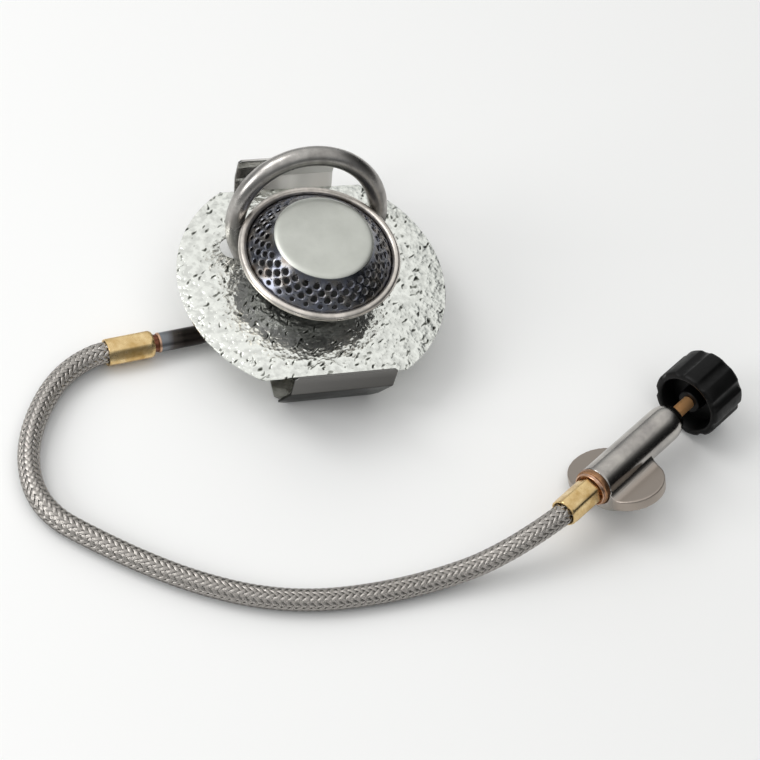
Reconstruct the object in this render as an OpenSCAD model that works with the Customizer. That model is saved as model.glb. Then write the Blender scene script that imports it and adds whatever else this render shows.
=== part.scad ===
// Camping gas insert burner with a preheat loop, a braided hose and a canister valve.
// Millimetres, Z up. The burner's axis is Z, and the bracket's web stands on z = 0.

/* [Heat plate and bracket] */
// Diameter of the round heat plate
plate_d = 100; // [96:1:106]
// Width of the heat plate across its two flats
plate_flats = 84.4; // [80:0.5:88]
// Height of the plate's upper face above the floor
plate_top = 21; // [20:0.5:24]
// Thickness of the plate's sheet
plate_t = 0.8; // [0.5:0.1:1.5]
// Width of the spring bracket's strip
bracket_w = 38; // [30:1:40]
// Thickness of the spring bracket's strip
bracket_t = 0.9; // [0.6:0.1:1.5]
// Height of the bracket's lips above the plate
lip_h = 10.2; // [8:0.2:13]
// Gap between a plate flat and the lip's outer face
lip_reach = 7.1; // [5:0.1:9]
// Turn of the bracket about the burner's axis
bracket_turn = 1; // [0:0.5:4]

/* [Burner head] */
// Outer diameter of the rolled rim
rim_d = 59.6; // [57:0.2:60]
// Width of the rolled rim's bead
bead_w = 3; // [2:0.2:4]
// Height of the rim's top above the plate
rim_h = 17.5; // [16:0.5:20]
// Diameter of the cap's flat top
cap_top_d = 36; // [30:0.2:38]
// Height of the cap's flat top above the rim
cap_rise = 8.5; // [7:0.5:12]
// Thickness of the pressed sheet of the bowl and the cap
sheet_t = 0.7; // [0.5:0.1:1]
// Number of flame holes in each row
holes_per_row = 30; // [20:1:34]
// Diameter of a flame hole
flame_hole_d = 2.3; // [1.6:0.1:2.5]
// Outer diameter of the mixing tube
mixer_d = 15; // [13:0.5:17]
// Diameter of an air hole in the mixing tube
air_hole_d = 5.6; // [4:0.2:6]

/* [Gas feed] */
// Outer diameter of the preheat tube
tube_d = 7.2; // [6:0.2:7.4]
// Wall of the preheat tube
tube_wall = 1; // [0.6:0.1:1.5]
// Radius of the preheat loop's arch, on its centre line
loop_r = 27; // [26.5:0.5:29]
// Lean of the preheat loop away from upright
loop_lean = 18; // [10:1:24]
// Height of the loop's centre above the plate
loop_up = 11.4; // [9:0.2:13]
// Gap between the preheat tube and the rolled rim
loop_gap = 0.6; // [0.4:0.1:3]
// Diameter of the round jet block
block_d = 19; // [18:0.5:22]
// Height of the jet block
block_h = 8.6; // [8.4:0.2:9.6]

/* [Hose] */
// Outer diameter of the braided hose
hose_d = 8; // [7:0.2:8.4]
// Width across the flats of the crimped ferrules
ferrule_af = 10; // [9.4:0.2:11]
// Length of a crimped ferrule
ferrule_len = 17.6; // [14:0.2:20]

/* [Canister valve] */
// Diameter of the valve's barrel
barrel_d = 14; // [13:0.2:15]
// Length of the barrel from the canister port to the spindle
barrel_len = 36; // [34:0.5:40]
// Distance between the tips of the two wings
wing_span = 38; // [34:1:42]
// Thickness of a wing
wing_t = 4.2; // [2.6:0.2:4.6]
// Depth of the wings' upper face below the barrel's axis
wing_drop = 3.2; // [3:0.2:4]
// Diameter of the canister collar
collar_d = 20; // [17:0.5:22]
// Depth of the collar's mouth below the barrel's axis
collar_drop = 12.2; // [11:0.2:14]
// Diameter of the threaded canister port
port_d = 10.5; // [10:0.1:11.2]
// Diameter of the valve's spindle
spindle_d = 4.8; // [4:0.2:5.4]
// Travel of the spindle from shut to fully open
spindle_travel = 2; // [1:0.25:2.5]
// Outer diameter of the knob
knob_d = 27.8; // [24:0.2:28.4]
// Length of the knob
knob_len = 17.8; // [14:0.2:20]
// Gap between the barrel's end and the knob
knob_gap = 6.8; // [5:0.2:10]
// Number of flutes round the knob
knob_flutes = 9; // [6:1:14]

/* [Hidden] */
$fn = 64;
eps = 0.01;
// Clearance of a pin or shaft that turns or slides in its bore, on the radius
run_gap = 0.05;
// Clearance of a fixed piece in its hole, on the radius
fit_gap = 0.15;
// Clearance between the ends of pieces that only lie near each other
end_gap = 0.3;

// Bracket
foot_y = plate_flats / 2 - 3.2;
lip_y = plate_flats / 2 + lip_reach;
lip_top = plate_top + lip_h;
leg_clip = 4.4;
lip_clip = 1.6;
bracket_half = [
    [foot_y, 0], [lip_y, plate_top], [lip_y, lip_top], [lip_y - bracket_t, lip_top],
    [lip_y - bracket_t, plate_top + 0.2], [foot_y - bracket_t, bracket_t]
];

// Preheat tube: the loop's plane, its ends at the plate and its bends below it
bead_up = rim_h - bead_w / 2 - loop_up;
bead_x = sqrt(pow(loop_r, 2) - pow(bead_up / cos(loop_lean), 2));
bead_y = sqrt(pow(rim_d / 2 + loop_gap + tube_d / 2, 2) - pow(bead_x, 2));
loop_back = bead_y - bead_up * tan(loop_lean);
loop_c = [0, loop_back, plate_top + loop_up];
lean_up = [0, sin(loop_lean), cos(loop_lean)];
leg_drop = loop_up / cos(loop_lean);
leg_x = sqrt(pow(loop_r, 2) - pow(leg_drop, 2));
foot_y_at_plate = loop_back - loop_up * tan(loop_lean);
leg_turn = asin(leg_drop / loop_r);
right_leg = [leg_x, foot_y_at_plate, plate_top];
right_down = [-sin(leg_turn), 0, 0] - cos(leg_turn) * lean_up;
left_leg = [-right_leg[0], right_leg[1], right_leg[2]];
left_down = [-right_down[0], right_down[1], right_down[2]];
feed_z = bracket_t + 0.6 + tube_d / 2;
block_base = bracket_t;
function down_to(leg, way, z) = leg + way * (leg[2] - z) / -way[2];
right_corner = down_to(right_leg, right_down, feed_z);
left_corner = down_to(left_leg, left_down, feed_z);
socket_turn = atan2(right_corner[1], right_corner[0]);
block_end = [cos(socket_turn), sin(socket_turn), 0] * (block_d / 2 - 4.5) + [0, 0, feed_z];
feed_heading = [cos(8), sin(8), 0];
feed_corner = [-40, -9.8, feed_z];
bend_tight = 9;
bend_wide = 14;
lap = 0.3;
collar_len = 2.8;
feed_end = feed_corner - feed_heading * 17.4;
ferrule_face = feed_end - feed_heading * collar_len;

// Burner head
rim_top = plate_top + rim_h;
cap_top = rim_top + cap_rise;
bead_r = bead_w / 2;
bowl_r = rim_d / 2 - bead_r;
bowl_seat = plate_top + 4;
block_top = block_base + block_h;
jet_hex_h = 2.4;
boss_h = 2;
mixer_wall = 1;
mixer_top = bowl_seat + 2;
air_z = block_top + boss_h + 0.8 + air_hole_d / 2;
nut_h = 1.6;
nut_af = mixer_d + 5;

// Valve
valve_at = [95.7, -88, 15.5];
valve_turn = [-27.8, 1.5, 35.2];
barrel_r = barrel_d / 2;
union_len = 3.4;
barrel_start = -11.6;
union_step = 1.2;
union_socket = 2.4;
union_d = barrel_d;
wing_r = 13;
wing_mid = wing_span / 2 - wing_r;
chamber_d = 6;
seat_x = -4;
gland_len = 4;
gland_d = chamber_d + 0.8;
dome_len = 7.6;
dome_end = 2.6;
dome_arc = 72;
ring_thick = 1.4;
ring_mid = chamber_d / 2 - run_gap - ring_thick / 2;
ring_x = barrel_len - gland_len - spindle_travel - ring_thick / 2 - end_gap;
thread_end = ring_x - 3.5;
knob_face = barrel_len + knob_gap;
knob_recess = 7;
knob_end = 4;
flute_r = 3.6;
flute_depth = 0.8;
hub_d = spindle_d + 4;
port_roof = -4.6;
seal_d = 1.8;
seal_room = seal_d + 0.2;
pin_len = seal_room - 0.2;

// Hose
mouth_depth = 3;
hose_sides = 12;
burner_mouth = ferrule_face - feed_heading * ferrule_len;
valve_axis = [cos(valve_turn[2]) * cos(valve_turn[1]), sin(valve_turn[2]) * cos(valve_turn[1]),
    -sin(valve_turn[1])];
valve_mouth = valve_at + valve_axis * (barrel_start - union_len + union_socket - ferrule_len);
hose_route = [
    [-83, -16.3, 4.8], [-89.4, -19.5, 4.4], [-95.4, -24.3, 4.2], [-100.6, -30.4, 4.1],
    [-104.9, -37.4, 4.1], [-108.4, -44.8, 4.1], [-110.8, -52.6, 4.1], [-111.8, -60.4, 4.1],
    [-111.4, -68, 4.1], [-109.3, -75, 4.1], [-105.6, -80.9, 4.1], [-100.8, -85.6, 4.1],
    [-90.3, -93.7, 4.1], [-79.4, -101.3, 4.1], [-68.1, -108.2, 4.1], [-56.4, -114.1, 4.1],
    [-44.1, -118.9, 4.1], [-31.2, -122.1, 4.1], [-17.8, -123.6, 4.1], [-3.9, -123.5, 4.1],
    [10.1, -122.3, 4.2], [24.1, -120.3, 5], [37.6, -118, 7.4], [49.6, -114.9, 11.2], [60.3, -111, 14.7]
];
hose_points = concat(
    [for (s = [mouth_depth, mouth_depth - 2.5, mouth_depth - 5]) burner_mouth + feed_heading * s],
    hose_route,
    [for (s = [mouth_depth - 5, mouth_depth - 2.5, mouth_depth]) valve_mouth + valve_axis * s]
);

function unit(v) = v / norm(v);
function knot(p, i) = i < 0 ? 2 * p[0] - p[1] : i >= len(p) ? 2 * p[len(p) - 1] - p[len(p) - 2] : p[i];
function spline(a, b, c, d, s) =
    0.5 * (2 * b + (c - a) * s + (2 * a - 5 * b + 4 * c - d) * s * s + (3 * b - a - 3 * c + d) * s * s * s);
function smooth_path(p) = concat(
    [for (i = [0:len(p) - 2]) for (s = [0, 0.5]) spline(knot(p, i - 1), p[i], p[i + 1], knot(p, i + 2), s)],
    [p[len(p) - 1]]
);

// Matrix that puts X, Y and Z on three directions at a point
function placed(x, y, z, at) = [
    [x[0], y[0], z[0], at[0]], [x[1], y[1], z[1], at[1]], [x[2], y[2], z[2], at[2]], [0, 0, 0, 1]
];

// Straight round bar from p to q
module bar(p, q, r) {
    way = unit(q - p);
    side = unit(cross(abs(way[2]) > 0.9 ? [1, 0, 0] : [0, 0, 1], way));
    multmatrix(placed(side, cross(way, side), way, p)) cylinder(h = norm(q - p), r = r);
}

// Section of the preheat tube. Straight lengths are a hair thinner and lap into the bends.
module tube_section(hair) difference() {
    circle(d = tube_d - 2 * hair, $fn = 36);
    circle(d = tube_d - 2 * tube_wall + 2 * hair, $fn = 36);
}
module pipe(p, q, lap_p, lap_q) {
    way = unit(q - p);
    side = unit(cross(abs(way[2]) > 0.9 ? [1, 0, 0] : [0, 0, 1], way));
    multmatrix(placed(side, cross(way, side), way, p - way * lap_p))
        linear_extrude(norm(q - p) + lap_p + lap_q) tube_section(0.02);
}
module elbow(p, way, next, bend) {
    axis = unit(cross(way, next));
    inward = cross(axis, way);
    multmatrix(placed(-inward, way, axis, p + inward * bend))
        rotate_extrude(angle = acos(way * next)) translate([bend, 0]) tube_section(0);
}

// Where a bend at a corner starts and ends
function bend_cut(way, next, bend) = bend * tan(acos(way * next) / 2);

module preheat_tube() color("dimgray") {
    way_in = feed_heading;
    way_mid = unit(left_corner - feed_corner);
    way_out = unit(block_end - right_corner);
    cut_a = bend_cut(way_in, way_mid, bend_wide);
    cut_b = bend_cut(way_mid, -left_down, bend_tight);
    cut_c = bend_cut(right_down, way_out, bend_tight);
    pipe(feed_end, feed_corner - way_in * cut_a, 0, lap);
    elbow(feed_corner - way_in * cut_a, way_in, way_mid, bend_wide);
    pipe(feed_corner + way_mid * cut_a, left_corner - way_mid * cut_b, lap, lap);
    elbow(left_corner - way_mid * cut_b, way_mid, -left_down, bend_tight);
    pipe(left_corner - left_down * cut_b, left_leg, lap, lap);
    // arch over the burner head
    multmatrix(placed([1, 0, 0], lean_up, [0, -lean_up[2], lean_up[1]], loop_c))
        rotate([0, 0, -leg_turn]) rotate_extrude(angle = 180 + 2 * leg_turn)
            translate([loop_r, 0]) tube_section(0);
    pipe(right_leg, right_corner - right_down * cut_c, lap, lap);
    elbow(right_corner - right_down * cut_c, right_down, way_out, bend_tight);
    pipe(right_corner + way_out * cut_c, block_end, lap, 0);
}

module spring_bracket() color("lightgray") rotate([0, 0, bracket_turn]) difference() {
    rotate([90, 0, 90]) translate([0, 0, -bracket_w / 2]) linear_extrude(bracket_w)
        polygon(concat(bracket_half, [for (i = [5:-1:0]) [-bracket_half[i][0], bracket_half[i][1]]]));
    // clipped corners: wide where each leg leaves the web, small on the lips
    for (side = [-1, 1]) for (end = [-1, 1]) translate([end * bracket_w / 2, side * lip_y, 0]) {
        rotate([0, 45, 0]) cube([leg_clip, 2 * (lip_y - foot_y) + 1, leg_clip], center = true);
        translate([0, 0, lip_top]) rotate([0, 45, 0]) cube([lip_clip, 4, lip_clip], center = true);
    }
    rotate([0, 0, -bracket_turn]) for (side = [-1, 1]) screw_place(side) screw_hole();
}

// The two countersunk screws stand square to the tube's socket in the block
screw_shank = 1.5;
screw_head = 2.9;
screw_len = 6.4;
screw_at = 6.2;
module screw_place(side)
    rotate([0, 0, socket_turn + 90 * side]) translate([screw_at, 0, 0]) children();
module screw_hole() {
    translate([0, 0, -1]) cylinder(h = bracket_t + 2, r = screw_shank + fit_gap);
    translate([0, 0, -eps]) cylinder(h = screw_head - screw_shank, r1 = screw_head + eps, r2 = screw_shank);
}

module bracket_screw(side) color("silver") screw_place(side) difference() {
    union() {
        cylinder(h = screw_head - screw_shank, r1 = screw_head - 0.05, r2 = screw_shank - 0.05);
        cylinder(h = screw_len, r = screw_shank);
    }
    translate([-screw_head, -0.35, -1]) cube([2 * screw_head, 0.7, 1.5]);
}
module bracket_screw_left() bracket_screw(1);
module bracket_screw_right() bracket_screw(-1);

module jet_block() color("darkgoldenrod") difference() {
    union() {
        translate([0, 0, block_base]) cylinder(h = block_h - 0.6, d = block_d);
        translate([0, 0, block_top - 0.6]) cylinder(h = 0.6, d1 = block_d, d2 = block_d - 1.2);
        translate([0, 0, block_top - eps]) cylinder(h = boss_h + eps, d = mixer_d - 2 * mixer_wall - 2 * fit_gap);
    }
    translate([0, 0, feed_z - 1]) cylinder(h = block_top + boss_h - feed_z + 2, r = jet_thread_r);
    for (side = [-1, 1]) screw_place(side) {
        translate([0, 0, -1]) cylinder(h = screw_len + 1.4, r = screw_shank + fit_gap);
        cylinder(h = screw_head - screw_shank, r1 = screw_head, r2 = screw_shank);
    }
    bar(block_end, block_end + unit(block_end - [0, 0, feed_z]) * block_d / 2, tube_d / 2 + fit_gap / 2);
    bar([0, 0, feed_z], block_end + unit(block_end - [0, 0, feed_z]) * eps, tube_d / 2 - tube_wall);
}

jet_thread_r = 2.5;
jet_top = block_top + boss_h + jet_hex_h;
module gas_jet() color("gold") difference() {
    union() {
        translate([0, 0, feed_z + 1.5]) cylinder(h = block_top + boss_h - feed_z, r = jet_thread_r - run_gap);
        translate([0, 0, block_top + boss_h]) cylinder(h = jet_hex_h - 0.8, d = 6.4, $fn = 6);
        translate([0, 0, jet_top - 0.8 - eps]) cylinder(h = 0.8, r1 = 2.4, r2 = 1.6);
    }
    translate([0, 0, feed_z]) cylinder(h = jet_top - feed_z - 1.2, r = 1.1);
    translate([0, 0, feed_z]) cylinder(h = jet_top - feed_z + 1, r = 0.3, $fn = 16);
}

module mixing_tube() color("silver") difference() {
    translate([0, 0, block_top]) cylinder(h = mixer_top - block_top, d = mixer_d);
    translate([0, 0, block_top - 1]) cylinder(h = mixer_top - block_top + 2, d = mixer_d - 2 * mixer_wall);
    for (turn = [45, 135]) rotate([0, 0, turn]) translate([0, 0, air_z]) rotate([90, 0, 0])
        cylinder(h = mixer_d + 2, d = air_hole_d, center = true);
}

// Thin hexagon nut that clamps the plate against the bowl's foot
module mixer_nut() color("darkgray") translate([0, 0, plate_top - plate_t - nut_h]) difference() {
    cylinder(h = nut_h, d = nut_af / cos(30), $fn = 6);
    translate([0, 0, -1]) cylinder(h = nut_h + 2, d = mixer_d + 2 * run_gap);
}

module heat_plate() color("gainsboro") translate([0, 0, plate_top - plate_t]) linear_extrude(plate_t) difference() {
    intersection() {
        circle(d = plate_d, $fn = 180);
        square([plate_d, plate_flats], center = true);
    }
    circle(d = mixer_d + 2 * fit_gap);
    for (side = [0, 1]) mirror([side, 0]) loop_slot();
}
module loop_slot() {
    slot_r = tube_d / 2 + 1.3;
    translate([leg_x - 0.6, foot_y_at_plate]) circle(r = slot_r);
    translate([leg_x + 2.4, foot_y_at_plate + 0.6]) circle(r = slot_r);
    translate([leg_x - 0.6, foot_y_at_plate - slot_r + 0.3]) square([3, 2 * slot_r]);
}

module burner_bowl() color("rosybrown") rotate_extrude($fn = 120) {
    floor_r = mixer_d / 2 + fit_gap;
    // foot that stands on the plate, floor, flaring wall
    polygon([
        [floor_r, plate_top], [floor_r + 3.2, plate_top], [floor_r + 3.2, bowl_seat - 0.6],
        [floor_r + 4.6, bowl_seat], [bowl_r - 8, bowl_seat + 1.6], [bowl_r - 1, rim_top - 5],
        [bowl_r + sheet_t, rim_top - bead_w], [bowl_r + sheet_t, rim_top - bead_r],
        [bowl_r, rim_top - bead_r], [bowl_r - 0.6, rim_top - bead_w],
        [bowl_r - 1.8, rim_top - 4.8], [bowl_r - 8.6, bowl_seat + 2.5], [floor_r + 1, bowl_seat + 1],
        [floor_r, bowl_seat + 1]
    ]);
    // rolled bead, open underneath where the sheet curls back
    difference() {
        translate([bowl_r, rim_top - bead_r]) circle(r = bead_r, $fn = 32);
        translate([bowl_r - 2 * bead_r, rim_top - 3 * bead_r]) square([2 * bead_r, 1.25 * bead_r]);
    }
}

// Perforated cone with a rounded shoulder and a flat top
cap_foot_r = bowl_r - bead_r - run_gap;
cap_shoulder_r = cap_top_d / 2;
cap_foot_z = rim_top - 1.6;
cone_slope = atan2(cap_top - 1 - cap_foot_z, cap_foot_r - cap_shoulder_r - 0.6);
module flame_cap() color("slategray") difference() {
    rotate_extrude($fn = 120) difference() {
        cap_profile(0);
        cap_profile(sheet_t);
    }
    for (row = [0:3]) for (i = [0:holes_per_row - 1])
        rotate([0, 0, (i + (row % 2) / 2) * 360 / holes_per_row])
            translate([cap_row_r(row), 0, cap_row_z(row)]) rotate([0, 90 - cone_slope, 0])
                cylinder(h = 3.4, d = row == 3 ? flame_hole_d - 0.5 : flame_hole_d, center = true, $fn = 20);
}
function cap_row_r(row) = cap_foot_r - 1.5 - (3 - row) * (cap_foot_r - cap_shoulder_r - 3.6) / 3.2;
function cap_row_z(row) = cap_foot_z + (cap_foot_r - cap_row_r(row)) * tan(cone_slope) * 0.97;
module cap_profile(inset) polygon([
    [0, cap_foot_z - 1], [cap_foot_r - inset * 1.2, cap_foot_z - 1],
    [cap_foot_r - inset * 1.2, cap_foot_z], [cap_shoulder_r + 0.6 - inset, cap_top - 1 - inset * 0.5],
    [cap_shoulder_r - 0.4 - inset * 0.5, cap_top - inset], [0, cap_top - inset]
]);

module along(at, way) {
    side = unit(cross([0, 0, 1], way));
    multmatrix(placed(way, side, cross(way, side), at)) children();
}

module braze_collar() color("chocolate") along(feed_end, -feed_heading) rotate([0, 90, 0]) difference() {
    union() {
        cylinder(h = collar_len, d = tube_d - 0.6);
        translate([0, 0, 0.2]) cylinder(h = 0.9, d = tube_d + 0.4);
    }
    translate([0, 0, -1]) cylinder(h = collar_len + 2, d = tube_d - 2 * tube_wall);
}

// Brass end piece inside a ferrule, as far in as the hose's end
module hose_tail() rotate([0, 90, 0]) difference() {
    union() {
        cylinder(h = ferrule_len - mouth_depth - run_gap, r = hose_d / 2 - 0.6);
        for (z = [3:3:9]) translate([0, 0, z]) cylinder(h = 1.4, r1 = hose_d / 2 - 0.6, r2 = hose_d / 2);
    }
    translate([0, 0, -1]) cylinder(h = ferrule_len + 2, r = 1.6);
}
module burner_hose_tail() color("goldenrod") along(ferrule_face, -feed_heading) hose_tail();

module ferrule() rotate([0, 90, 0]) difference() {
    intersection() {
        cylinder(h = ferrule_len, d = ferrule_af / cos(30), $fn = 6);
        union() {
            cylinder(h = 1.2, d1 = ferrule_af - 1.4, d2 = ferrule_af + 1.2);
            translate([0, 0, 1.2 - eps]) cylinder(h = ferrule_len, d = ferrule_af + 1.2);
        }
    }
    translate([0, 0, -1]) cylinder(h = ferrule_len + 2, r = hose_d / 2 + fit_gap);
}
module burner_ferrule() color("gold") along(ferrule_face, -feed_heading) rotate([30, 0, 0]) ferrule();

module hose() color("lightslategray") {
    path = smooth_path(hose_points);
    n = len(path);
    rings = [for (i = [0:n - 1])
        let (way = unit(path[min(i + 1, n - 1)] - path[max(i - 1, 0)]),
            side = unit(cross([0, 0, 1], way)), up = cross(way, side))
        for (k = [0:hose_sides - 1]) let (a = 360 * k / hose_sides)
            path[i] + hose_d / 2 * (cos(a) * side + sin(a) * up)];
    walls = [for (i = [0:n - 2]) for (k = [0:hose_sides - 1])
        let (a = i * hose_sides + k, b = i * hose_sides + (k + 1) % hose_sides)
            [a, a + hose_sides, b + hose_sides, b]];
    polyhedron(rings, concat(walls, [
        [for (k = [0:hose_sides - 1]) k],
        [for (k = [0:hose_sides - 1]) n * hose_sides - 1 - k]
    ]));
}

module in_valve() translate(valve_at) rotate(valve_turn) children();
module down_x(x) translate([x, 0, 0]) rotate([0, 90, 0]) children();

module valve_ferrule() color("gold") in_valve()
    translate([barrel_start - union_len + union_socket, 0, 0]) rotate([0, 0, 180]) ferrule();
module valve_hose_tail() color("goldenrod") in_valve()
    translate([barrel_start - union_len + union_socket, 0, 0]) rotate([0, 0, 180]) hose_tail();

// Stepped copper union between the barrel and the hose
module inlet_union() color("peru") in_valve() down_x(barrel_start - union_len) difference() {
    union() {
        cylinder(h = union_step, d = ferrule_af / cos(30) + 1.2);
        translate([0, 0, union_step]) cylinder(h = union_len - union_step, d = union_d);
    }
    translate([0, 0, -1]) cylinder(h = union_socket + 1, d = ferrule_af / cos(30) + 2 * fit_gap);
    translate([0, 0, -1]) cylinder(h = union_len + 2, r = 1.6);
}

// Long rounding at the spindle's end of the barrel
module dome_profile() polygon(concat(
    [[0, 0]],
    [for (i = [0:8]) [dome_end + (barrel_r - dome_end) * cos(i * dome_arc / 8), dome_len * sin(i * dome_arc / 8)]],
    [[dome_end + (barrel_r - dome_end) * cos(dome_arc) - 0.4, dome_len], [0, dome_len]]
));

module wing_outline() intersection() {
    union() for (side = [-1, 1]) translate([0, side * wing_mid]) circle(r = wing_r, $fn = 96);
    square([2 * wing_r + 2, wing_span], center = true);
}

module valve_body() color("silver") in_valve() difference() {
    union() {
        down_x(barrel_start) cylinder(h = barrel_len - barrel_start - dome_len, d = barrel_d, $fn = 96);
        down_x(barrel_len - dome_len) rotate_extrude($fn = 96) dome_profile();
        // wings
        translate([0, 0, -wing_drop - wing_t]) linear_extrude(wing_t) wing_outline();
        // fillets between the wings and the barrel
        intersection() {
            translate([0, 0, -wing_drop - 1]) linear_extrude(barrel_r + 4) wing_outline();
            for (side = [0, 1]) mirror([0, side, 0]) difference() {
                translate([-wing_r, 0, -wing_drop - 1]) cube([2 * wing_r, barrel_r + 3.4, wing_drop + 1.6]);
                translate([-wing_r - 1, barrel_r + 3.6, -wing_drop + 3.6]) rotate([0, 90, 0])
                    cylinder(h = 2 * wing_r + 2, r = 3.6);
            }
        }
        // canister collar
        translate([0, 0, -collar_drop]) cylinder(h = collar_drop - wing_drop - 1, d = collar_d, $fn = 96);
    }
    // room for the inlet union between the wings
    down_x(barrel_start - 10) cylinder(h = 10, d = barrel_d + 2 * fit_gap);
    // chamber, gland seat and gas ways
    down_x(seat_x) cylinder(h = barrel_len - seat_x + 1, d = chamber_d);
    down_x(barrel_len - gland_len) cylinder(h = gland_len + 1, d = gland_d);
    down_x(barrel_start - 1) cylinder(h = seat_x - barrel_start + 2, r = 1.3);
    // canister port with its chamfered mouth
    translate([0, 0, -collar_drop - 1]) cylinder(h = collar_drop + 1 + port_roof - seal_room, d = port_d);
    translate([0, 0, port_roof - seal_room - eps]) cylinder(h = seal_room + eps, d = port_d + 0.8);
    translate([0, 0, -collar_drop - eps]) cylinder(h = 0.8, d1 = port_d + 1.6, d2 = port_d);
    translate([0, 0, port_roof - eps]) cylinder(h = 3, r = 1.5);
}

module canister_seal() color("black") in_valve() translate([0, 0, port_roof - seal_d / 2 - 0.02])
    rotate_extrude() translate([port_d / 2 + 0.4 - seal_d / 2 - run_gap, 0]) circle(d = seal_d, $fn = 24);

// Pin that opens the canister's own valve, on a three-armed foot
module opener_pin() color("goldenrod") in_valve() {
    translate([0, 0, port_roof - pin_len]) cylinder(h = pin_len, r = 0.9);
    difference() {
        translate([0, 0, port_roof - 0.9]) cylinder(h = 0.9, r = port_d / 2 - seal_d);
        for (turn = [0:120:240]) rotate([0, 0, turn]) translate([1.9, 0, port_roof - 2])
            cylinder(h = 3, r = 0.6, $fn = 16);
    }
}

module gland_nut() color("dimgray") in_valve() down_x(barrel_len - gland_len) difference() {
    cylinder(h = gland_len, d = gland_d - 2 * run_gap);
    translate([0, 0, -1]) cylinder(h = gland_len + 4, d = spindle_d + 2 * run_gap);
}

module spindle() color("peru") in_valve() {
    // needle
    down_x(seat_x - 1.2) cylinder(h = 3.6, r1 = 0.6, r2 = 2);
    down_x(seat_x + 2.4 - eps) cylinder(h = 4, r = 2);
    // thread, kept round
    down_x(seat_x + 6) cylinder(h = thread_end - seat_x - 6, d = chamber_d - 2 * run_gap);
    difference() {
        down_x(thread_end - eps) cylinder(h = knob_face + knob_len - knob_end - end_gap - thread_end, d = spindle_d);
        down_x(ring_x) rotate_extrude() translate([ring_mid, 0]) circle(d = ring_thick, $fn = 24);
    }
}
module spindle_ring() color("black") in_valve() down_x(ring_x)
    rotate_extrude() translate([ring_mid, 0]) circle(d = ring_thick, $fn = 24);

module knob() color("#222222") in_valve() down_x(knob_face) difference() {
    // rounded rims
    rotate_extrude($fn = 96) polygon([
        [0, 0], [knob_d / 2 - 1.2, 0], [knob_d / 2 - 0.35, 0.35], [knob_d / 2, 1.2],
        [knob_d / 2, knob_len - 2], [knob_d / 2 - 0.5, knob_len - 0.8],
        [knob_d / 2 - 1.2, knob_len - 0.3], [knob_d / 2 - 2.4, knob_len], [0, knob_len]
    ]);
    // wide shallow flutes
    for (i = [0:knob_flutes - 1]) rotate([0, 0, i * 360 / knob_flutes + 16])
        translate([knob_d / 2 + flute_r - flute_depth, 0, -1]) cylinder(h = knob_len + 2, r = flute_r, $fn = 48);
    // hollow round the hub
    rotate_extrude() polygon([
        [hub_d / 2, 2], [hub_d / 2 + 0.001, -1], [knob_d / 2 - 2.8, -1],
        [knob_d / 2 - 3.2, knob_recess], [hub_d / 2 + 0.4, knob_recess]
    ]);
    translate([0, 0, -1]) cylinder(h = 3, d = hub_d + 2);
    translate([0, 0, -2]) cylinder(h = knob_len - knob_end + 2, d = spindle_d + 2 * run_gap);
}

spring_bracket();
bracket_screw_left();
bracket_screw_right();
jet_block();
gas_jet();
mixing_tube();
mixer_nut();
heat_plate();
burner_bowl();
flame_cap();
preheat_tube();
braze_collar();
burner_hose_tail();
burner_ferrule();
hose();
valve_ferrule();
valve_hose_tail();
inlet_union();
valve_body();
canister_seal();
opener_pin();
gland_nut();
spindle();
spindle_ring();
knob();
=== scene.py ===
import bpy
from math import acos, asin, atan, atan2, cos, degrees, exp, hypot, log, pi, radians, sin, sqrt, tan
from mathutils import Matrix, Vector


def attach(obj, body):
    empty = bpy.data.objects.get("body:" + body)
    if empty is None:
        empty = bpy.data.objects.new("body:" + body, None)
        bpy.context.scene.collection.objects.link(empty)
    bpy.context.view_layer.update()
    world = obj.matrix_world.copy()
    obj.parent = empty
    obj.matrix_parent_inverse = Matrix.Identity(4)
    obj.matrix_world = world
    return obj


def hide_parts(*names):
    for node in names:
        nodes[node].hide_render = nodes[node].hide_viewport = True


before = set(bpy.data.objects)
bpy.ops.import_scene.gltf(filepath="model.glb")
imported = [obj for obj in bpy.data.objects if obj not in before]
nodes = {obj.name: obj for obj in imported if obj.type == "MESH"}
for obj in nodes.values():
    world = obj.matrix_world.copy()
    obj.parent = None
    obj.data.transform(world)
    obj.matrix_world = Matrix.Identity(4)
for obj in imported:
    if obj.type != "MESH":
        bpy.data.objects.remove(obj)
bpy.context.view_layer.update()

mm = 0.001


def deselectAll():
    if bpy.context.object and bpy.context.object.mode != "OBJECT":
        bpy.ops.object.mode_set(mode="OBJECT")
    bpy.ops.object.select_all(action="DESELECT")


def makeActive(obj):
    deselectAll()
    obj.select_set(True)
    bpy.context.view_layer.objects.active = obj


def addToScene(obj):
    bpy.context.scene.collection.objects.link(obj)


def startPiece(name, addPrimitive, **settings):
    deselectAll()
    addPrimitive(**settings)
    piece = bpy.context.object
    piece.name = piece.data.name = name
    bpy.ops.object.transform_apply(location=True, rotation=True, scale=True)
    return piece


def addModifier(piece, kind, **settings):
    makeActive(piece)
    modifier = piece.modifiers.new(kind.title(), kind)
    for key, value in settings.items():
        setattr(modifier, key, value)
    bpy.ops.object.modifier_apply(modifier=modifier.name)


def leaveEdit():
    bpy.ops.object.mode_set(mode="OBJECT")


def editAll(piece):
    # edit mode, with the whole piece selected
    makeActive(piece)
    bpy.ops.object.mode_set(mode="EDIT")
    bpy.ops.mesh.select_all(action="SELECT")


def mergeDoubles(piece, gap):
    # joins points that lie within a gap in mm
    editAll(piece)
    bpy.ops.mesh.remove_doubles(threshold=gap * mm)
    leaveEdit()


def faceOutwards(piece):
    editAll(piece)
    bpy.ops.mesh.normals_make_consistent(inside=False)
    leaveEdit()


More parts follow.
